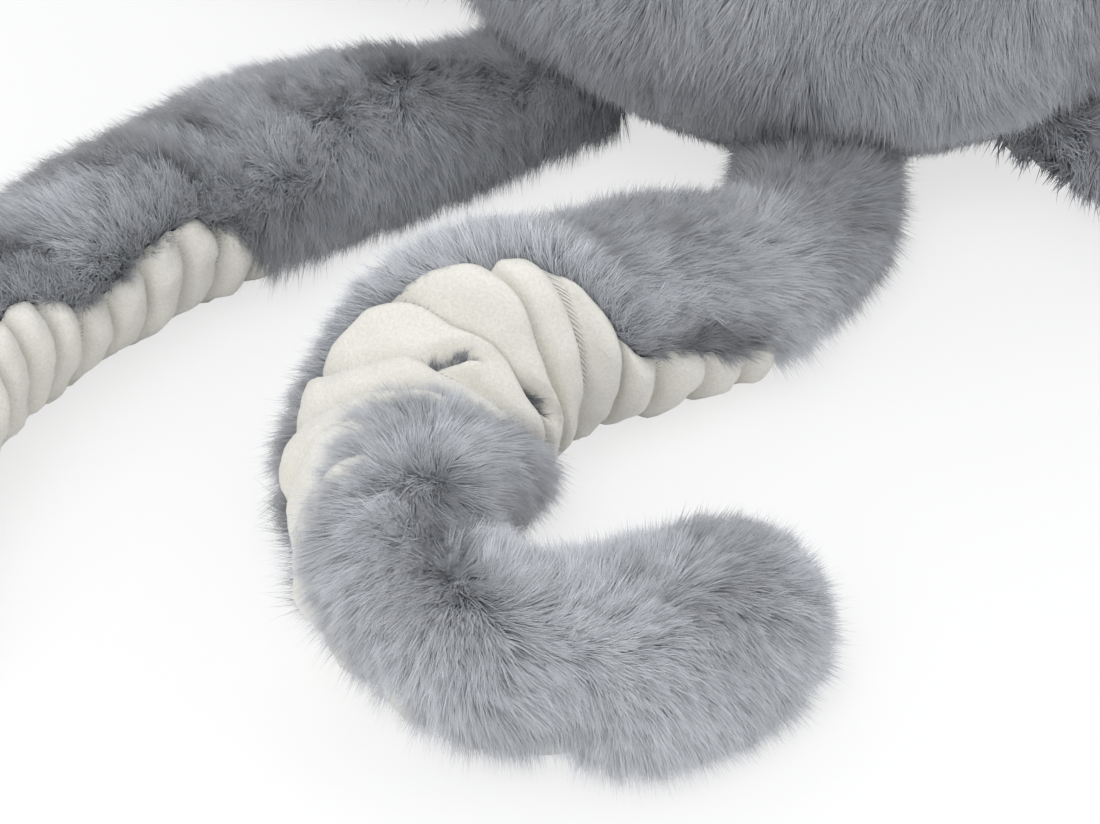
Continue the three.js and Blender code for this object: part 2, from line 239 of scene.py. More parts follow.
def thread_material():
    material, tree, shader = new_material("stitch_thread", 0.8, 0.25, 0.2)
    fine = noise_node(tree, 2400, 2)
    tree.links.new(
        ramp(tree, fine, [(0.3, (0.86, 0.85, 0.80)), (0.7, (0.93, 0.92, 0.88))]),
        shader.inputs["Base Color"],
    )
    return material


HIDE = hide_material()
RIBBED = ribbed_material()
THREAD = thread_material()


# Hairs, as tapered spikes in one mesh. A few guard hairs are longer than the rest.
TINTS = 64
# Places of root and tip on the ramp along the hairs; the root end is dark as painted shade.
ROOT_SHADE = 0.03
TIP_SHADE = 0.97
NORMAL_SOFTENING = 0.75
GUARD_SHARE = 0.12
GUARD_LENGTH = 1.3
TUFT_LEAN = 0.85
HAIR_SCALE = 0.95
DOWN = np.array([0.0, 0.0, -1.0])


class Pile:
    """How wide and long the hairs are, and the size of the tufts that they lean together in."""

    def __init__(self, width, length, tuft):
        self.width = width
        self.length = length
        self.tuft = tuft


def hairs(name, roots, tips, width, tint, skin_normal):
    """Three-sided hairs that taper from root to tip, as one mesh of the fur."""
    count = len(roots)
    along = unit(tips - roots)
    side = unit(np.cross(along, skin_normal + 0.01))
    up = np.cross(along, side)
    column = (np.clip((tint * TINTS).astype(int), 0, TINTS - 1) + 0.5) / TINTS
    vertices = np.empty((count, 4, 3))
    normals = np.empty((count, 4, 3))
    uv = np.empty((count, 4, 2))
    for corner, (angle, off) in enumerate([(90, -0.3), (210, 0.3), (330, 0.0)]):
        out = side * np.cos(np.radians(angle)) + up * np.sin(np.radians(angle))
        vertices[:, corner] = roots + out * (width[:, None] / 2)
        normals[:, corner] = unit(mix(out, skin_normal, NORMAL_SOFTENING))
        uv[:, corner, 0] = column + off / TINTS
    vertices[:, 3] = tips
    normals[:, 3] = skin_normal
    uv[:, 3, 0] = column
    uv[:, :3, 1] = ROOT_SHADE
    uv[:, 3, 1] = TIP_SHADE
    faces = np.arange(count)[:, None, None] * 4 + np.array([[0, 1, 3], [1, 2, 3], [2, 0, 3]])
    made = mesh_object(name, vertices.reshape(-1, 3), [faces.reshape(-1, 3)], FUR_HAIR)
    mesh = made.data
    held = mesh.attributes.new("custom_normal", "FLOAT_VECTOR", "POINT")
    held.data.foreach_set("vector", normals.astype(np.float32).ravel())
    layer = mesh.uv_layers.new(name="OFBake")
    corners = np.empty(len(mesh.loops), np.int32)
    mesh.loops.foreach_get("vertex_index", corners)
    layer.data.foreach_set("uv", uv.reshape(-1, 2)[corners].astype(np.float32).ravel())
    return made


def hair_tips(roots, direction, lay, normal, bend, size):
    """Tips of hairs that lean over with the lay, back to the skin and down by the three shares of bend."""
    over, back, hang = bend
    curve = lay * over - normal * back + DOWN * hang
    return roots + (direction + curve) * size[:, None] * HAIR_SCALE


def clump_of(a, b, size, seed):
    """The centre of the clump that each place on a surface belongs to, in the same two lengths."""
    ca = np.floor(a / size).astype(np.int64)
    cb = np.floor(b / size).astype(np.int64)
    best = np.full(len(a), 1e9)
    out_a, out_b = a.copy(), b.copy()
    for da in (-1, 0, 1):
        for db in (-1, 0, 1):
            ia, ib = ca + da, cb + db
            h = scrambled(ia, ib, seed)
            pa = (ia + (h & 0xFFFF) / 65536.0) * size
            pb = (ib + (h >> 16 & 0xFFFF) / 65536.0) * size
            d = (pa - a) ** 2 + (pb - b) ** 2
            near = d < best
            best = np.where(near, d, best)
            out_a = np.where(near, pa, out_a)
            out_b = np.where(near, pb, out_b)
    return out_a, out_b


def tuft_tilt(centre, seed):
    """One random lean for each clump, from the clump's centre."""
    return np.stack([noise(centre, 0.0009, seed + 21 + k) for k in range(3)], 1)


def scattered(random, area, count):
    """Cells of a grid picked in proportion to their area, with a place inside each."""
    flat = area.ravel().cumsum()
    picked = np.searchsorted(flat, (np.arange(count) + random.random(count)) / count * flat[-1])
    picked = np.minimum(picked, area.size - 1)
    row, column = np.divmod(picked, area.shape[1])
    return row + random.random(count), column + random.random(count)


# Arms. These sizes and the routes below are the solids' own, in metres and degrees.
HINGE_RADIUS = 0.126
ARM_LENGTH = 0.345
HALF_WIDTH = 0.026
HALF_THICKNESS = 0.020
TIP = 0.026
STRAIGHT = 0.311
PRESSED = 0.003
ROOT_SWELL = 0.66
SWELL_LENGTH = 0.110
ROUTE_STEP = 0.001
ROUTE_LEAD = 60

# How far the arms' cloth and pile go on under the head, inwards of the hinge.
ROOT_REACH = 0.038

# Ribs of the underside, how far the grooves between them are pulled open, and the stitches across them.
RIB_PITCH = 0.0138
RIB_HEIGHT = 0.0068
RIB_SHARE = 0.93
OPEN_SHARE = 0.22
OPEN_FLOOR = 0.0022
STITCH_STEPS = 3
THREAD_RADIUS = 0.00024

# Each arm: its azimuth, how far each tenth of it turns, how far it has rolled over at the end of each
# tenth, and, for the two near arms, its girth along the way.
ARMS = {
    "front_left": (
        247.5,
        [-33, -14, -5, 15, 25, 20, 40, 53, 30, 3],
        [11, 13, 30, 102, 186, 258, 338, 362, 370, 374],
        [1, 1.04, 1.15, 1.16, 1.12, 1, 0.98, 0.9, 0.88, 0.85, 0.85],
    ),
    "left_front": (
        197.5,
        [-1, 2, 14, 1, 1, 15, 8, 10, 18, 11],
        [-15, -10, 12, 48, 39, 62, 60, 71, 86, 100],
        [1, 1.1, 1.06, 1.01, 1.02, 1.02, 1.02, 0.99, 0.99, 1.01, 1],
    ),
    "left_rear": (
        150,
        [-14, -6, 0, -2, -20, -42, -54, -56, -50, -44],
        [0, -10, -25, -50, -70, -85, -90, -90, -90, -90],
    ),
    "rear_left": (
        108,
        [4, 2, -3, -14, -28, -40, -48, -50, -46, -38],
        [0, -10, -30, -60, -80, -88, -90, -90, -90, -90],
    ),
    "rear_right": (
        67.5,
        [10, 8, -4, -18, -30, -40, -46, -46, -40, -24],
        [0, -5, -20, -50, -80, -88, -90, -90, -90, -90],
    ),
    "right_rear": (
        22.5,
        [-4, 6, 10, 0, -18, -36, -46, -46, -42, -36],
        [0, -5, -15, -45, -70, -85, -90, -90, -90, -90],
    ),
    "right_front": (
        337.5,
        [8, 10, 0, -12, -30, -44, -46, -46, -40, -30],
        [0, -5, -20, -50, -75, -88, -90, -90, -90, -90],
    ),
    "front_right": (
        292.5,
        [10, 14, 16, 4, -16, -36, -46, -46, -46, -40],
        [-5, -15, -30, -60, -80, -90, -90, -90, -90, -90],
    ),
}

# Head's backing, from the base's rim to the crown: distance out and height.
HEAD_RADIUS = 0.128
HEAD_HEIGHT = 0.226
BASE_RADIUS = 0.072
BELLY = [(0, 0), (0.34, 0.045), (0.63, 0.12), (0.83, 0.19), (0.95, 0.27), (1, 0.37)]
CROWN = [(1, 0.58), (0.93, 0.7), (0.78, 0.82), (0.55, 0.92), (0.28, 0.98), (0.035, 1)]
OUTLINE = np.array(
    [(BASE_RADIUS + o * (HEAD_RADIUS - BASE_RADIUS), u * HEAD_HEIGHT) for o, u in BELLY]
    + [(o * HEAD_RADIUS, u * HEAD_HEIGHT) for o, u in CROWN]
)


def spline(knots, t):
    """Catmull-Rom through rows of knots, t from 0 to 1 by knot number."""
    n = len(knots) - 1
    x = np.clip(t, 0, 1) * n
    i = np.minimum(x.astype(int), n - 1)
    f = (x - i)[:, None]
    p0, p1 = knots[np.maximum(i - 1, 0)], knots[i]
    p2, p3 = knots[i + 1], knots[np.minimum(i + 2, n)]
    return 0.5 * (
        2 * p1
        + (p2 - p0) * f
        + (2 * p0 - 5 * p1 + 4 * p2 - p3) * f**2
        + (3 * p1 - p0 - 3 * p2 + p3) * f**3
    )


PROFILE_T = np.linspace(0, 1, 400)
PROFILE = spline(OUTLINE, PROFILE_T)
PROFILE_TURN = unit(np.gradient(PROFILE, axis=0))
PROFILE_OUT = np.stack([PROFILE_TURN[:, 1], -PROFILE_TURN[:, 0]], 1)
BELLY_TOP = BELLY[-1][1] * HEAD_HEIGHT
BELLY_LINE = PROFILE[PROFILE[:, 1] < BELLY_TOP]


class Arm:
    def __init__(self, azimuth, turns, rolls, girths=None):
        self.azimuth = np.radians(azimuth)
        self.folds = []
        self.dents = []
        self.whorl = None
        self.bare = (-1, 0.175)
        self.out = np.array([np.cos(self.azimuth), np.sin(self.azimuth), 0])
        step = ROUTE_STEP
        stretch = ARM_LENGTH / len(turns)
        rolls = [0, *rolls]
        self.girths = np.ones(len(rolls)) if girths is None else np.array(girths)
        count = round(ARM_LENGTH / step)
        s = np.arange(count + 1) * step
        i = np.minimum((s / stretch).astype(int), len(turns) - 1)
        heading = self.azimuth + np.concatenate(
            [[0], np.cumsum(np.radians(np.array(turns)[i[:-1]]) * step / stretch)]
        )
        share = smooth(s - i * stretch, 0, stretch)
        roll = np.radians(mix(np.array(rolls)[i], np.array(rolls)[i + 1], share))
        x = HINGE_RADIUS * self.out[0] + np.concatenate([[0], np.cumsum(np.cos(heading[1:]) * step)])
        y = HINGE_RADIUS * self.out[1] + np.concatenate([[0], np.cumsum(np.sin(heading[1:]) * step)])
        before = np.arange(-ROUTE_LEAD, 0) * step
        self.s = np.concatenate([before, s])
        self.x = np.concatenate([(HINGE_RADIUS + before) * self.out[0], x])
        self.y = np.concatenate([(HINGE_RADIUS + before) * self.out[1], y])
        self.heading = np.concatenate([np.full(ROUTE_LEAD, self.azimuth), heading])
        self.roll = np.concatenate([np.zeros(ROUTE_LEAD), roll])

    def section(self, s):
        h = np.interp(s, self.s, self.heading)
        roll = np.interp(s, self.s, self.roll)
        girth = np.interp(s, np.linspace(0, ARM_LENGTH, len(self.girths)), self.girths)
        swell = mix(ROOT_SWELL, 1, smooth(s, 0, SWELL_LENGTH)) * girth
        c, k = np.cos(roll), np.sin(roll)
        lift = np.hypot(HALF_WIDTH * swell * k, HALF_THICKNESS * swell * c) + PRESSED
        middle = np.stack([np.interp(s, self.s, self.x), np.interp(s, self.s, self.y), lift], -1)
        left = np.stack([-np.sin(h), np.cos(h), np.zeros_like(h)], -1)
        up = np.array([0.0, 0.0, 1.0])
        back = up * c[:, None] - left * k[:, None]
        side = left * c[:, None] + up * k[:, None]
        return middle, back, side, swell

    def surface(self, u, angle, out):
        """Points of the arm at lengths u, at angles from the middle of the fur side, out of the backing."""
        turned = np.clip((u - STRAIGHT) / TIP, 0, 1) * (np.pi / 2)
        s = np.where(u < STRAIGHT, u, STRAIGHT + (TIP + out) * np.sin(turned))
        closing = np.cos(turned)
        for at, place, long, wide, dent in self.dents:
            off = (angle - place + 180) % 360 - 180
            out = out - dent * np.exp(-(((u - at) / long) ** 2) - (off / wide) ** 2)
        middle, back, side, swell = self.section(s)
        depth = (HALF_THICKNESS * swell + out) * closing
        breadth = (HALF_WIDTH * swell + out) * closing
        a = np.radians(angle)
        return (
            middle
            + back * (depth * np.cos(a))[:, None]
            + side * (breadth * np.sin(a))[:, None]
        )

    def whorl_at(self, u, angle, stray):
        """How far the nap lies along and across: all along, or out from the middle of a whorl."""
        if self.whorl is None:
            return np.ones_like(u), np.zeros_like(u)
        at, place, reach = self.whorl
        share = np.exp(-(((u - at) / reach) ** 2))
        forward = np.tanh((u - at + 0.016 * stray) / 0.020)
        forward = np.where(forward < 0, 0.4 * forward, forward)
        return forward, share * np.clip((angle - place - 30 * stray) / 40, -1.3, 1.3)

    def axes(self, u, angle):
        """Backing point, way along, way across and outward normal."""
        e = 0.0005
        here = self.surface(u, angle, 0)
        along = unit(self.surface(u + e, angle, 0) - self.surface(u - e, angle, 0))
        across = unit(self.surface(u, angle + 1, 0) - self.surface(u, angle - 1, 0))
        normal = unit(np.cross(along, across))
        along = unit(np.cross(across, normal))
        return here, along, across, normal


def clear_of_head(points, gap=0.001):
    """Root points that would be inside the head are moved out to its underside."""
    p = points.copy()
    r = np.hypot(p[:, 0], p[:, 1])
    least = np.interp(p[:, 2], BELLY_LINE[:, 1], BELLY_LINE[:, 0]) + gap
    least = np.where(p[:, 2] > BELLY_LINE[-1, 1], 0, least)
    grow = np.where(r < least, least / np.maximum(r, 1e-9), 1)
    p[:, 0] *= grow
    p[:, 1] *= grow
    return p


def inside_head(p, gap=0.0):
    r = np.hypot(p[:, 0], p[:, 1])
    z = p[:, 2]
    side = np.interp(z, PROFILE[:, 1], PROFILE[:, 0])
    return (r < side + gap) & (z < HEAD_HEIGHT)


# The arms' pile: where it ends along the arm, where the seams are, in degrees from the middle of the back,
# and how its hairs are set in, lean and scatter.
LAST = STRAIGHT + TIP * 0.985
SEAM_ANGLE = 117.0
ARM_RADIUS = 0.0245
PILE_CENTRE = 0.004
UNSEEN_SHARE = 0.35
HAIR_SUNK = 0.0006
HAIR_STRAY = 0.0005
ARM_HAIR_BEND = (0.34, 0.12, 0.10)


def draped(arm, u):
    """How far the pile hangs over the ribs' ends. Along the bare stretch it is brushed back from them."""
    start, end = arm.bare
    return np.maximum(smooth(start - u, 0, 0.03), smooth(u, end, end + 0.035))


def near_seam(angle):
    """Rises from 0 to 1 towards the seams between pile and ribs."""
    return smooth(np.abs(angle), 70, SEAM_ANGLE)


def fur_on_arm(name, arm, count, low, high, seed, nap_seed, pile):
    """Hairs over the fur side of one arm between two lengths along it."""
    random = np.random.default_rng(seed)
    us = np.linspace(low, high, 120)
    angles = np.linspace(-SEAM_ANGLE, SEAM_ANGLE, 60)
    U, A = np.meshgrid((us[:-1] + us[1:]) / 2, (angles[:-1] + angles[1:]) / 2, indexing="ij")
    e = (us[1] - us[0]) / 2
    flat_u, flat_a = U.ravel(), A.ravel()
    d1 = arm.surface(flat_u + e, flat_a, PILE_CENTRE) - arm.surface(flat_u - e, flat_a, PILE_CENTRE)
    d2 = arm.surface(flat_u, flat_a + 1, PILE_CENTRE) - arm.surface(flat_u, flat_a - 1, PILE_CENTRE)
    area = np.linalg.norm(np.cross(d1, d2), axis=1).reshape(U.shape)
    height = arm.surface(flat_u, flat_a, PILE_CENTRE)[:, 2].reshape(U.shape)
    area[height < PILE_CENTRE] *= UNSEEN_SHARE
    row, column = scattered(random, area, count)
    u = low + row * (us[1] - us[0])
    angle = -SEAM_ANGLE + column * (angles[1] - angles[0])

    def nap(u, angle):
        here, along, across, normal = arm.axes(u, angle)
        n1 = noise(here, 0.028, nap_seed + 1) + 0.7 * noise(here, 0.009, nap_seed + 2)
        near_edge = near_seam(angle)
        turn = np.radians(85 * n1 * (1 - 0.5 * near_edge))
        forward, outward = arm.whorl_at(u, angle, noise(here, 0.016, nap_seed + 8))
        ahead = forward * np.cos(turn) - outward * np.sin(turn)
        aside = forward * np.sin(turn) + outward * np.cos(turn)
        aside += np.sign(angle) * near_edge * mix(-1.3, 1.0, draped(arm, u))
        lay = along * ahead[:, None] + across * aside[:, None]
        fall = DOWN - normal * (normal @ DOWN)[:, None]
        lay = unit(lay * 0.7 + fall * (0.6 * (1 - near_edge))[:, None])
        stand = 1.8 + 0.8 * noise(here, 0.012, nap_seed + 3)
        direction = unit(normal * stand[:, None] + lay)
        return here, normal, lay, direction

    here, normal, lay, direction = nap(u, angle)
    around = np.radians(angle) * ARM_RADIUS
    ca, cb = clump_of(u, around, pile.tuft, seed + 7)
    ca = np.clip(ca, low - 0.004, LAST)
    c_here, c_normal, c_lay, c_direction = nap(ca, np.degrees(cb / ARM_RADIUS))
    tousled = mix(1.4, TUFT_LEAN, smooth(ca, 0.05, 0.12))[:, None]
    c_direction = unit(c_direction + tousled * tuft_tilt(c_here, nap_seed))
    size = pile.length * (0.70 + 0.45 * random.random(count))
    size *= 1 + 0.18 * noise(here, 0.02, nap_seed + 4)
    guard = random.random(count) < GUARD_SHARE
    size *= np.where(guard, GUARD_LENGTH, 1) * (1 + 0.25 * near_seam(angle) * draped(arm, u))
    wild = random.normal(size=(count, 3)) * 0.32
    roots = here - normal * HAIR_SUNK
    own = hair_tips(roots, unit(direction + wild), lay, normal, ARM_HAIR_BEND, size)
    clump = hair_tips(c_here, c_direction, c_lay, c_normal, ARM_HAIR_BEND, size)
    pull = np.where(guard, 0.3, 0.35 + 0.5 * random.random(count))
    tips = mix(own, clump, pull[:, None]) - random.normal(size=(count, 3)) * HAIR_STRAY
    lowest = 0.0002 + 0.0012 * random.random(count)
    roots[:, 2] = np.maximum(roots[:, 2], lowest)
    tips[:, 2] = np.maximum(tips[:, 2], lowest)
    keep = ~inside_head(roots, 0.0005) & ~inside_head(tips)
    tint = 0.5 + 0.11 * noise(here, 0.016, nap_seed + 5) + 0.22 * noise(c_here, 0.001, nap_seed + 6)
    # Painted shade: the hairs near the root, under the head, are tinted darker.
    tint -= 0.26 * smooth(0.07 - u, 0.0, 0.07)
    tint += 0.08 * random.normal(size=count)
    widths = pile.width * (0.7 + 0.6 * random.random(count))
    return hairs(name, roots[keep], tips[keep], widths[keep], np.clip(tint, 0, 1)[keep], normal[keep])


def arm_hide(name, arm, rows, columns):
    """The stuffed backing of one arm's fur side, tucked under the ribs at both edges.

    At the root, where the ribs are narrow, it reaches round under them.
    """
    u = np.concatenate(
        [np.linspace(-ROOT_REACH, STRAIGHT, rows), STRAIGHT + TIP * np.linspace(0.1, 1, 10)]
    )
    angle = np.linspace(-123, 123, columns)
    U, A = np.meshgrid(u, angle, indexing="ij")
    edge = smooth(np.abs(A.ravel()), 108, 123)
    out = 0.0008 - 0.0022 * edge
    around = A.ravel() * (1 + 0.37 * smooth(0.035 - U.ravel(), 0, 0.047))
    p = arm.surface(U.ravel(), around, out)
    lump = noise(p, 0.02, 5) * 0.0009
    _, _, _, normal = arm.axes(np.minimum(U.ravel(), LAST), around)
    p = p + normal * (lump * (1 - edge))[:, None]
    p[:, 2] = np.maximum(p[:, 2], 0.0012)
    p = np.where((U.ravel() < 0.002)[:, None], clear_of_head(p), p)
    made = mesh_object(name, p, [grid_faces(len(u), columns)], HIDE)
    return made


def rib_shape(u):
    """Rib number and place in the rib, from -1 to 1, at lengths along the arm."""
    t = (u + ROOT_REACH) / RIB_PITCH
    number = np.floor(t)
    return number, 2 * (t - number) - 1


def groove_spread(number, seed):
    """How far each groove between two ribs is pulled open, from 0 to 1."""
    return (0.5 + 0.5 * np.cos(number * 0.5 * np.pi + seed)) ** 1.2


def rib_point(arm, u, across, seed):
    """A point of the ribbed side, at a place across from -1 to 1."""
    number, x = rib_shape(u)
    own = noise(np.stack([number * 7.3, np.zeros_like(number), np.zeros_like(number) + seed], 1), 1, 3)
    spread = groove_spread(number + (x > 0), seed)
    crest = np.clip(1 - (np.abs(x) / (RIB_SHARE - OPEN_SHARE * spread)) ** 2.5, 0, 1) ** 0.55
    end = np.clip(1 - np.abs(across) ** 7, 0, 1) ** 0.45
    grown = smooth(u, -0.012, 0.035)
    end_angle = (65 + 3.0 * crest + 2.0 * own) * (0.55 + 0.45 * grown)
    angle = 180 + across * end_angle
    skew = 0.0016 * np.sin(across * 2.2 + own * 3) * np.clip(1 - np.abs(x), 0, 1) ** 0.5
    height = RIB_HEIGHT * (1 + 0.14 * own) * (0.3 + 0.7 * grown)
    out = 0.0006 + height * crest * (0.25 + 0.75 * end) * (0.35 + 0.65 * end)
    out += OPEN_FLOOR * spread * (1 - crest) * end * grown
    for at, place, long, wide, depth in arm.folds:
        out = out + depth * np.exp(-(((u - at) / long) ** 2) - ((across - place) / wide) ** 2)
    last = STRAIGHT + TIP * 0.99
    v = np.minimum(u + skew, last)
    p = arm.surface(v, angle, out)
    _, _, side, normal = arm.axes(v, angle)
    rough = noise(p, 0.0030, seed + 11) * 0.0004 + noise(p, 0.008, seed + 12) * 0.0011
    p = p + normal * (rough * (0.3 + crest))[:, None]
    p = p + side * (noise(p, 0.003, seed + 13) * 0.0006 * smooth(np.abs(across), 0.8, 1))[:, None]
    p[:, 2] = np.maximum(p[:, 2], 0.0003)
    p = np.where((u < 0.002)[:, None], clear_of_head(p), p)
    return p, normal


def arm_ribs(name, arm, per_rib, columns, seed):
    t = 0.5 - 0.5 * np.cos(np.linspace(0, np.pi, per_rib + 1)[:-1])
    ribs = int((STRAIGHT + TIP + ROOT_REACH) / RIB_PITCH) + 1
    u = (np.arange(ribs)[:, None] + t[None, :]).ravel() * RIB_PITCH - ROOT_REACH
    u = u[u < STRAIGHT + TIP]
    u = np.append(u, STRAIGHT + TIP)
    x = np.linspace(-1, 1, columns)
    across = np.sign(x) * (1 - (1 - np.abs(x)) ** 1.5)
    U, A = np.meshgrid(u, across, indexing="ij")
    p, _ = rib_point(arm, U.ravel(), A.ravel(), seed)
    made = mesh_object(name, p, [grid_faces(len(u), columns)], RIBBED)
    return made


def arm_stitches(name, arm, pitch, seed):
    """Ladder stitches across the grooves between the ribs."""
    random = np.random.default_rng(seed)
    ribs = int((STRAIGHT + TIP * 0.8 + ROOT_REACH) / RIB_PITCH)
    line = np.arange(-0.9, 0.9, pitch / 0.031)
    N, A = np.meshgrid(np.arange(3, ribs + 1), line, indexing="ij")
    number, across = N.ravel().astype(float), A.ravel() + random.normal(size=N.size) * 0.006
    groove = number * RIB_PITCH - ROOT_REACH
    keep = groove < STRAIGHT + TIP * 0.8
    number, across, groove = number[keep], across[keep], groove[keep]
    count = len(groove)
    half = (0.0005 + 0.0010 * groove_spread(number, seed)) * (0.85 + 0.3 * random.random(count))
    centre = []
    for k in np.linspace(-1, 1, STITCH_STEPS + 1):
        p, normal = rib_point(arm, groove + half * k, across, seed)
        centre.append(p + normal * (0.0001 + 0.0003 * (1 - k * k)))
    centre = np.stack(centre, 1)
    way = unit(np.gradient(centre, axis=1))
    _, normal = rib_point(arm, groove, across, seed)
    side = unit(np.cross(way, normal[:, None, :]))
    up = np.cross(side, way)
    rings = [centre + side * THREAD_RADIUS, centre + up * THREAD_RADIUS, centre - side * THREAD_RADIUS]
    vertices = np.stack(rings, 2).reshape(count, -1, 3)
    vertices[..., 2] = np.maximum(vertices[..., 2], 0.0001)
    quads = np.array(
        [
            [k * 3 + j, k * 3 + (j + 1) % 3, k * 3 + 3 + (j + 1) % 3, k * 3 + 3 + j]
            for k in range(STITCH_STEPS)
            for j in range(3)
        ]
    )
    first = np.arange(count)[:, None, None] * vertices.shape[1]
    made = mesh_object(name, vertices.reshape(-1, 3), [(first + quads[None]).reshape(-1, 4)], THREAD)
    return made


def fold_fur(name, arm, count, seed):
    """Pile that shows at the bottom of the folds that are pushed in."""
    random = np.random.default_rng(seed)
    pushed_in = [fold for fold in arm.folds if fold[4] < 0]
    fold = np.array(pushed_in)[random.integers(len(pushed_in), size=count)]
    u = fold[:, 0] + fold[:, 2] * random.uniform(-0.75, 0.75, count)
    across = fold[:, 1] + fold[:, 3] * random.uniform(-0.75, 0.75, count)
    base, normal = rib_point(arm, u, across, 0)
    direction = unit(normal + 0.3 * random.normal(size=(count, 3)))
    size = 0.0036 * (0.6 + 0.6 * random.random(count))
    tips = base + direction * size[:, None]
    # The pile in the folds is real; its much darker tint is painted shade deep in the folds.
    tint = np.clip(0.15 + 0.12 * random.normal(size=count), 0, 1)
    return hairs(name, base - normal * HAIR_SUNK, tips, np.full(count, 0.00035), tint, normal)


arms = {name: Arm(*facts) for name, facts in ARMS.items()}

# Where the near arm bends sharply its ribs crumple: length along, place across, their reaches, and how far
# the cloth is pushed out or in.
arms["front_left"].folds = [
    (0.1640, 0.06, 0.0036, 0.085, -0.012),
    (0.1510, 0.31, 0.0038, 0.095, -0.012),
    (0.1575, 0.05, 0.0035, 0.22, 0.0040),
    (0.1715, 0.00, 0.0045, 0.28, 0.0035),
    (0.1480, -0.55, 0.0060, 0.20, 0.0035),
    (0.1620, -0.62, 0.0060, 0.18, 0.0030),
    (0.1440, 0.30, 0.0055, 0.20, 0.0030),
]

# Its end is pinched in on one side, before the tip, and its bend is fuller outside: length along, angle,
# their reaches and depth. The pile on the bend before the tip opens from one whorl.
arms["front_left"].dents = [
    (0.273, -85, 0.009, 50, 0.009),
    (0.247, -115, 0.028, 40, 0.007),
    (0.328, -75, 0.022, 40, 0.005),
    (0.165, 100, 0.035, 35, -0.004),
]
arms["front_left"].whorl = (0.250, -7, 0.045)
arms["front_left"].bare = (0.085, 0.175)
arms["left_front"].bare = (0.125, 1)


def bend_at_root(piece):
    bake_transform(piece)


class Finish:
    """How finely an arm is made: points along and round its backing, then along one rib and across it."""

    def __init__(self, hide, ribs, stitch_pitch, pile):
        self.hide = hide
        self.ribs = ribs
        self.stitch_pitch = stitch_pitch
        self.pile = pile


# The two near arms are made finer than the six outside the photo.
NEAR_FINISH = Finish((110, 41), (14, 41), 0.0014, Pile(0.00032, 0.0112, 0.0026))
FAR_FINISH = Finish((70, 27), (9, 21), 0.0026, Pile(0.0008, 0.0115, 0.004))
NEAR = ("front_left", "left_front")
ARM_SEED = 1000


def hair_parts(name):
    """The stretches of one arm's pile, each with its count of hairs."""
    if name == "front_left":
        ends = [-ROOT_REACH, 0.04, 0.09, 0.15, 0.20, 0.25, 0.295, LAST]
        return [(low, high, 60000) for low, high in zip(ends, ends[1:])]
    if name == "left_front":
        ends = [-ROOT_REACH, 0.03, 0.08, 0.14, 0.20]
        return [(low, high, 56000) for low, high in zip(ends, ends[1:])] + [(0.20, LAST, 40000)]
    count = 26000
    return [(-ROOT_REACH, 0.14, count), (0.14, LAST, count)]


for number, (name, arm) in enumerate(arms.items()):
    near = name in NEAR
    finish = NEAR_FINISH if near else FAR_FINISH
    hide = arm_hide(f"{name}_arm_backing", arm, *finish.hide)
    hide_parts(f"{name}_arm_fur", f"{name}_arm_root", f"{name}_arm_stuffing")
    ribs = arm_ribs(f"{name}_arm_ribs", arm, *finish.ribs, number * 31)
    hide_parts(f"{name}_arm_underside")
    pieces = [hide, ribs]
    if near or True:
        pieces.append(arm_stitches(f"{name}_arm_stitches", arm, finish.stitch_pitch, number * 31))
    nap_seed = ARM_SEED + number * 50
    for k, (low, high, count) in enumerate(hair_parts(name)):
        hair_name = f"{name}_arm_hair_{k + 1}"
        pieces.append(fur_on_arm(hair_name, arm, count, low, high, nap_seed + k, nap_seed, finish.pile))
    if arm.folds:
        pieces.append(fold_fur(f"{name}_arm_fold_hair", arm, 1600, 77))
    for piece in pieces:
        bend_at_root(piece)


# Head.
PANELS = {"face": 270, "left": 180, "back": 90, "right": 0}
EYE_HEIGHT = 0.47 * HEAD_HEIGHT
EYE_TURN = 22.5
EYE_OUT = HEAD_RADIUS * np.cos(np.radians(7.5))
EYES = {"left": 270 - EYE_TURN, "right": 270 + EYE_TURN}
EYE_SPOTS = {
    side: np.array([EYE_OUT * np.cos(np.radians(turn)), EYE_OUT * np.sin(np.radians(turn)), EYE_HEIGHT])
    for side, turn in EYES.items()
}
EYE_CLEARANCE = 0.0092
HEAD_HAIR_BEND = (0.30, 0.16, 0.12)
CROWN_END = 0.0043
CROWN_RING = 0.014


def closed_crown(p):
    """Points close round the crown are drawn in to the axis, where the four panels meet."""
    r = np.hypot(p[:, 0], p[:, 1])
    drawn = CROWN_RING * np.maximum(r - CROWN_END, 0.0002) / (CROWN_RING - CROWN_END)
    share = np.where(r < CROWN_RING, drawn / np.maximum(r, 1e-9), 1)
    return p * np.stack([share, share, np.ones_like(share)], 1)


def head_surface(azimuth, t, out):
    """Points of the head at azimuths in degrees and places up the outline, out of the backing."""
    r = np.interp(t, PROFILE_T, PROFILE[:, 0])
    z = np.interp(t, PROFILE_T, PROFILE[:, 1])
    nr = np.interp(t, PROFILE_T, PROFILE_OUT[:, 0])
    nz = np.interp(t, PROFILE_T, PROFILE_OUT[:, 1])
    off = (azimuth - 45) % 90
    off = np.minimum(off, 90 - off)
    seam = np.exp(-((off / 3.2) ** 2)) * 0.0016 * smooth(t, 0.1, 0.3)
    a = np.radians(azimuth)
    rr = r + nr * (out - seam)
    zz = z + nz * (out - seam)
    return np.stack([rr * np.cos(a), rr * np.sin(a), zz], -1)


def head_axes(azimuth, t):
    here = head_surface(azimuth, t, 0)
    level = unit(head_surface(azimuth + 0.5, t, 0) - head_surface(azimuth - 0.5, t, 0))
    down = unit(head_surface(azimuth, t - 0.004, 0) - head_surface(azimuth, t + 0.004, 0))
    normal = unit(np.cross(down, level))
    return here, down, level, normal


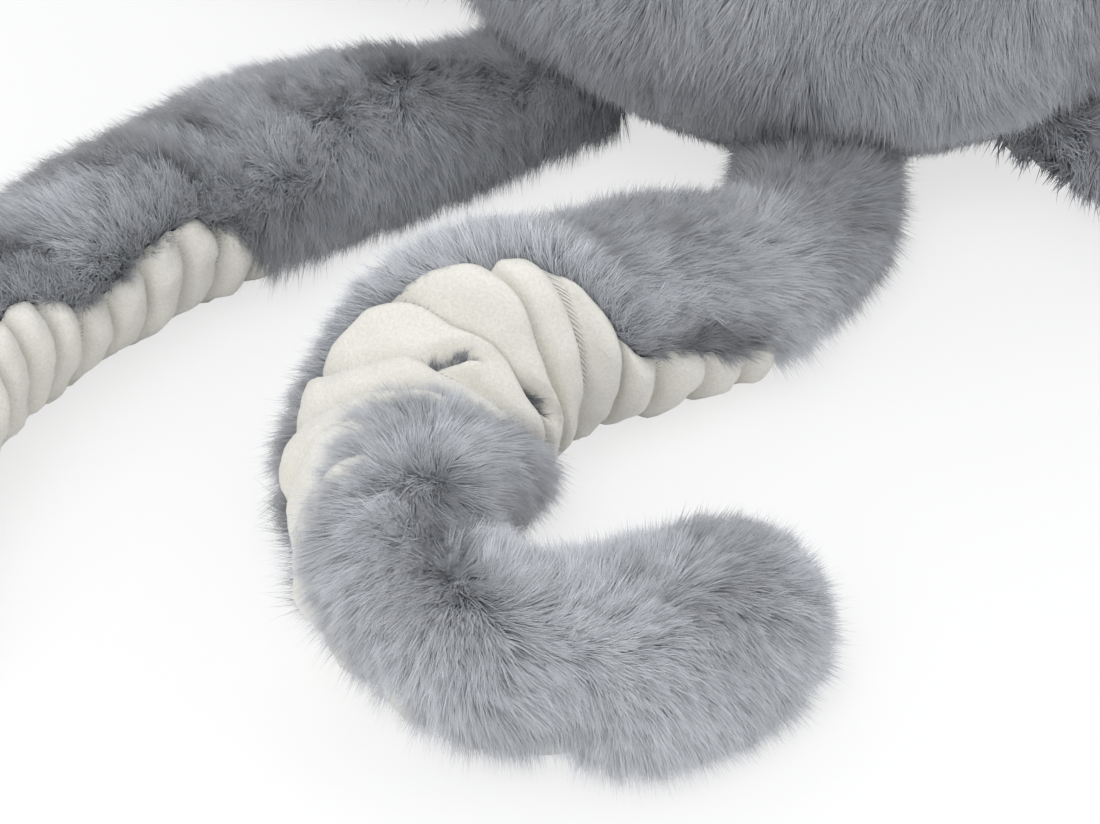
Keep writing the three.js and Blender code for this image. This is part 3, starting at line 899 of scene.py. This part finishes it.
def head_hide(name, middle, rows, columns):
    azimuth = middle + np.linspace(-45, 45, columns)
    t = np.linspace(0.0, 1.0, rows)
    T, A = np.meshgrid(t, azimuth, indexing="ij")
    p = head_surface(A.ravel(), T.ravel(), 0.0006)
    _, _, _, normal = head_axes(A.ravel(), np.clip(T.ravel(), 0.005, 0.99))
    p = p + normal * (noise(p, 0.035, 4) * 0.0014 * smooth(T.ravel(), 0.2, 0.4))[:, None]
    p = closed_crown(p)
    p[:, 2] = np.maximum(p[:, 2], 0.0004)
    made = mesh_object(name, p, [grid_faces(rows, columns)[:, ::-1]], HIDE)
    return made


def head_fur(name, middle, low, high, count, seed, nap_seed, pile):
    """Hairs over one panel of the head between two heights."""
    random = np.random.default_rng(seed)
    ts = np.linspace(0.02, 0.995, 120)
    azimuths = middle + np.linspace(-45.5, 45.5, 60)
    tc = (ts[:-1] + ts[1:]) / 2
    r = np.interp(tc, PROFILE_T, PROFILE[:, 0])
    z = np.interp(tc, PROFILE_T, PROFILE[:, 1])
    length_up = np.hypot(np.gradient(r), np.gradient(z))
    weight = np.where((z >= low) & (z < high), 1.0, 0.0) * np.where(tc < 0.2, 0.35, 1)
    area = (r * length_up * weight)[:, None] * np.ones((1, len(azimuths) - 1))
    row, column = scattered(random, area, count)
    t = ts[0] + row * (ts[1] - ts[0])
    azimuth = azimuths[0] + column * (azimuths[1] - azimuths[0])

    def nap(azimuth, t):
        t = np.clip(t, 0.005, 0.993)
        here, down, level, normal = head_axes(azimuth, t)
        n1 = noise(here, 0.032, nap_seed + 1) + 0.9 * noise(here, 0.012, nap_seed + 2)
        off = azimuth % 90 - 45
        part = np.sign(off) * np.exp(-np.abs(off) / 6.0)
        turn = np.radians(58 * n1 + 24 * part)
        lay = unit(down * np.cos(turn)[:, None] + level * np.sin(turn)[:, None])
        for spot in EYE_SPOTS.values():
            away = here - spot
            far = np.linalg.norm(away, axis=1)
            share = np.exp(-((far / 0.020) ** 2))[:, None] * 0.9
            lay = unit(lay * (1 - share) + unit(away - normal * np.sum(away * normal, 1)[:, None]) * share)
        stand = 1.35 + 0.5 * noise(here, 0.013, nap_seed + 3)
        stand += 2 * smooth(0.035 - np.hypot(here[:, 0], here[:, 1]), 0, 0.03)
        return closed_crown(here), normal, lay, unit(normal * stand[:, None] + lay)

    here, normal, lay, direction = nap(azimuth, t)
    clear = np.full(count, True)
    for spot in EYE_SPOTS.values():
        clear &= np.linalg.norm(here - spot, axis=1) > EYE_CLEARANCE
    lengths = np.concatenate([[0], np.cumsum(np.hypot(*np.diff(PROFILE, axis=0).T))])
    around = np.radians(azimuth) * HEAD_RADIUS
    ca, cb = clump_of(np.interp(t, PROFILE_T, lengths), around, pile.tuft, nap_seed + 7)
    c_here, c_normal, c_lay, c_direction = nap(
        np.degrees(cb / HEAD_RADIUS), np.interp(ca, lengths, PROFILE_T)
    )
    c_direction = unit(c_direction + TUFT_LEAN * tuft_tilt(c_here, nap_seed))
    size = pile.length * (0.72 + 0.4 * random.random(count))
    size *= 1 + 0.15 * noise(here, 0.02, nap_seed + 4)
    guard = random.random(count) < GUARD_SHARE
    size *= np.where(guard, GUARD_LENGTH, 1)
    size *= 0.45 + 0.55 * smooth(here[:, 2], 0.02, 0.05)
    wild = random.normal(size=(count, 3)) * 0.27
    roots = here - normal * 0.0005
    own = hair_tips(roots, unit(direction + wild), lay, normal, HEAD_HAIR_BEND, size)
    clump = hair_tips(c_here, c_direction, c_lay, c_normal, HEAD_HAIR_BEND, size)
    outside_crown = np.hypot(here[:, 0], here[:, 1]) > 0.03
    pull = np.where(guard, 0.2, 0.25 + 0.5 * random.random(count)) * outside_crown
    tips = mix(own, clump, pull[:, None])
    for ends in (roots, tips):
        ends[:, 2] = np.maximum(ends[:, 2], 0.0003)
    # Painted shade: the head's pile starts from a darker tint than the arms' pile (0.30 against 0.5), for its
    # downward-facing underside.
    tint = 0.30 + 0.14 * noise(here, 0.018, nap_seed + 5) + 0.24 * noise(c_here, 0.001, nap_seed + 6)
    tint += 0.10 * random.normal(size=count)
    widths = pile.width * (0.7 + 0.6 * random.random(count))
    return hairs(name, roots[clear], tips[clear], widths[clear], np.clip(tint, 0, 1)[clear], normal[clear])


# The two panels nearest the camera have finer hairs, finest on the lower side.
NEAR_PANELS = ("face", "left")
NEAR_BAND = 0.115
HEAD_PILE_LENGTH = 0.0130
HEAD_SEED = 3000
for number, (side, middle) in enumerate(PANELS.items()):
    hide = head_hide(f"head_{side}_backing", middle, 64, 41)
    nodes = [f"head_panel_{side}"] + (["head_stuffing"] if side == "face" else [])
    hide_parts(*nodes)
    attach(hide, "body")
    if side in NEAR_PANELS:
        bands = [
            (0.0, NEAR_BAND, 64000, Pile(0.00036, HEAD_PILE_LENGTH, 0.0028)),
            (NEAR_BAND, HEAD_HEIGHT, 50000, Pile(0.0005, HEAD_PILE_LENGTH, 0.0028)),
        ]
    else:
        far_count = 40000
        bands = [(0.0, HEAD_HEIGHT, far_count, Pile(0.0008, HEAD_PILE_LENGTH, 0.005))]
    for k, (low, high, count, pile) in enumerate(bands):
        hair_name = f"head_{side}_hair_{k + 1}"
        hair = head_fur(hair_name, middle, low, high, count, HEAD_SEED + number * 40 + k, HEAD_SEED, pile)
        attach(hair, "body")


# Eyes, base panel and bean pouch.
def eye_material():
    material, tree, shader = new_material("eye_plastic", 0.08, 0.5)
    cloud = noise_node(tree, 60, 2)
    tree.links.new(
        ramp(tree, cloud, [(0.3, (0.006, 0.006, 0.008)), (0.7, (0.012, 0.011, 0.012))]),
        shader.inputs["Base Color"],
    )
    shader.inputs["Coat Weight"].default_value = 0.6
    shader.inputs["Coat Roughness"].default_value = 0.03
    return material


def washer_material():
    material, tree, shader = new_material("washer_plastic", 0.5, 0.4)
    grain = noise_node(tree, 500, 2)
    tree.links.new(
        ramp(tree, grain, [(0.3, (0.66, 0.68, 0.7)), (0.7, (0.74, 0.76, 0.78))]),
        shader.inputs["Base Color"],
    )
    bump(tree, shader, grain, 0.2, 0.0003)
    return material


def calico_material():
    material, tree, shader = new_material("calico_weave", 0.9, 0.2, 0.2)
    place = tree.nodes.new("ShaderNodeTexCoord")
    bands = []
    for axis in ("X", "Y"):
        wave = tree.nodes.new("ShaderNodeTexWave")
        wave.wave_type = "BANDS"
        wave.bands_direction = axis
        wave.inputs["Scale"].default_value = 420
        wave.inputs["Distortion"].default_value = 0.6
        tree.links.new(place.outputs["Object"], wave.inputs["Vector"])
        bands.append(ramp(tree, wave.outputs["Fac"], [(0.0, (0.72,) * 3), (1.0, (1.0,) * 3)]))
    weave = multiplied(tree, *bands)
    base = ramp(tree, noise_node(tree, 300, 3), [(0.3, (0.60, 0.55, 0.45)), (0.7, (0.72, 0.67, 0.57))])
    tree.links.new(multiplied(tree, base, weave), shader.inputs["Base Color"])
    bump(tree, shader, weave, 0.4, 0.0004)
    return material


def turned_piece(name, profile, sides, material):
    """A round piece about +Z, from distances out and heights, closed at the axis."""
    profile = np.array(profile)
    angle = np.linspace(0, 2 * np.pi, sides, endpoint=False)
    p = np.stack(
        [
            profile[:, 0][:, None] * np.cos(angle),
            profile[:, 0][:, None] * np.sin(angle),
            profile[:, 1][:, None] + 0 * angle,
        ],
        -1,
    ).reshape(-1, 3)
    return mesh_object(name, p, [grid_faces(len(profile), sides, True)], material)


# Each eye is a shank, a thin rim and a dome, as distances out and heights along its own axis.
EYE_PLASTIC = eye_material()
EYE_RADIUS = 0.008
SHANK_RADIUS = 0.0024
SHANK_END = -0.009
RIM_BACK = 0.0015
RIM_BEVEL = 0.0004
DOME_START = 0.0025
DOME_RISE = 0.005
SHANK_AND_RIM = [
    (0.0001, SHANK_END),
    (SHANK_RADIUS, SHANK_END),
    (SHANK_RADIUS, RIM_BACK),
    (EYE_RADIUS - RIM_BEVEL, RIM_BACK),
    (EYE_RADIUS, RIM_BACK + RIM_BEVEL),
]
ROUNDING = np.radians(np.linspace(0, 89, 12))
DOME = [(EYE_RADIUS * np.cos(q), DOME_START + DOME_RISE * np.sin(q)) for q in ROUNDING]
for side, azimuth in EYES.items():
    eye = turned_piece(f"eye_{side}_dome", SHANK_AND_RIM + DOME, 40, EYE_PLASTIC)
    eye.rotation_euler = (0, np.pi / 2, np.radians(azimuth))
    eye.location = EYE_SPOTS[side]
    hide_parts(f"eye_{side}")
    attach(eye, "body")
    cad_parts[f"eye_washer_{side}"].data.materials[0] = washer_material()

POUCH_RADIUS = 0.0515
POUCH_BOTTOM = 0.0034
POUCH_HALF = 0.010
pouch_profile = []
for k in np.radians(np.linspace(-88, 88, 25)):
    out = np.cos(k) ** 0.55
    pouch_profile.append((POUCH_RADIUS * out + 0.0001, POUCH_BOTTOM + POUCH_HALF + POUCH_HALF * np.sin(k)))
pouch = turned_piece("bean_pouch_bag", pouch_profile, 72, calico_material())
co = np.array([v.co for v in pouch.data.vertices])
# Pellets press through the cloth in small bumps, and the bag is lumpy.
beads = noise(co, 0.0032, 9) * 0.0006 + noise(co, 0.014, 8) * 0.0012
r = np.hypot(co[:, 0], co[:, 1])[:, None]
co[:, :2] *= 1 + (beads - 0.002)[:, None] / np.maximum(r, 0.004) * (r > 0.02)
co[:, 2] = np.clip(co[:, 2] + beads * (co[:, 2] > 0.012), 0.0036, 0.0234)
pouch.data.vertices.foreach_set("co", co.astype(np.float32).ravel())
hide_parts("bean_pouch")
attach(pouch, "body")
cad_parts["base_panel"].data.materials[0] = RIBBED


# Floor and light.
def floor_material():
    material = bpy.data.materials.new("floor")
    material.use_nodes = True
    tree = material.node_tree
    shader = tree.nodes["Principled BSDF"]
    shader.inputs["Base Color"].default_value = (0.92, 0.92, 0.92, 1)
    shader.inputs["Roughness"].default_value = 0.95
    glow = tree.nodes.new("ShaderNodeEmission")
    glow.inputs["Color"].default_value = (1, 1, 1, 1)
    glow.inputs["Strength"].default_value = 1.0
    seen = tree.nodes.new("ShaderNodeLightPath")
    share = tree.nodes.new("ShaderNodeMath")
    share.operation = "MULTIPLY"
    share.inputs[1].default_value = 0.7
    blend = tree.nodes.new("ShaderNodeMixShader")
    tree.links.new(seen.outputs["Is Camera Ray"], share.inputs[0])
    tree.links.new(share.outputs["Value"], blend.inputs["Fac"])
    tree.links.new(shader.outputs["BSDF"], blend.inputs[1])
    tree.links.new(glow.outputs["Emission"], blend.inputs[2])
    tree.links.new(blend.outputs["Shader"], tree.nodes["Material Output"].inputs["Surface"])
    return material


FLOOR_REACH = 6.0
floor = mesh_object(
    "floor",
    np.array([(-1, -1, 0), (1, -1, 0), (1, 1, 0), (-1, 1, 0)]) * FLOOR_REACH,
    [np.array([[0, 1, 2, 3]])],
    floor_material(),
)

world = bpy.data.worlds.new("studio")
bpy.context.scene.world = world
world.use_nodes = True
world.node_tree.nodes["Background"].inputs["Color"].default_value = (0.97, 0.985, 1, 1)
world.node_tree.nodes["Background"].inputs["Strength"].default_value = 0.75


def softbox(name, place, target, size, power):
    data = bpy.data.lights.new(name, "AREA")
    data.shape = "SQUARE"
    data.size = size
    data.energy = power
    made = bpy.data.objects.new(name, data)
    made.location = place
    way = Vector(target) - Vector(place)
    made.rotation_euler = way.to_track_quat("-Z", "Y").to_euler()
    bpy.context.scene.collection.objects.link(made)


softbox("key", (-0.9, -0.9, 1.7), (-0.1, -0.15, 0), 1.0, 9.5)
softbox("front", (-1.0, -1.25, 0.6), (-0.12, -0.1, 0.03), 1.0, 4.6)
softbox("fill", (1.2, -0.6, 1.1), (0, 0, 0.05), 1.2, 3.6)
softbox("top", (0.0, 0.9, 1.6), (0, 0, 0), 1.2, 5)
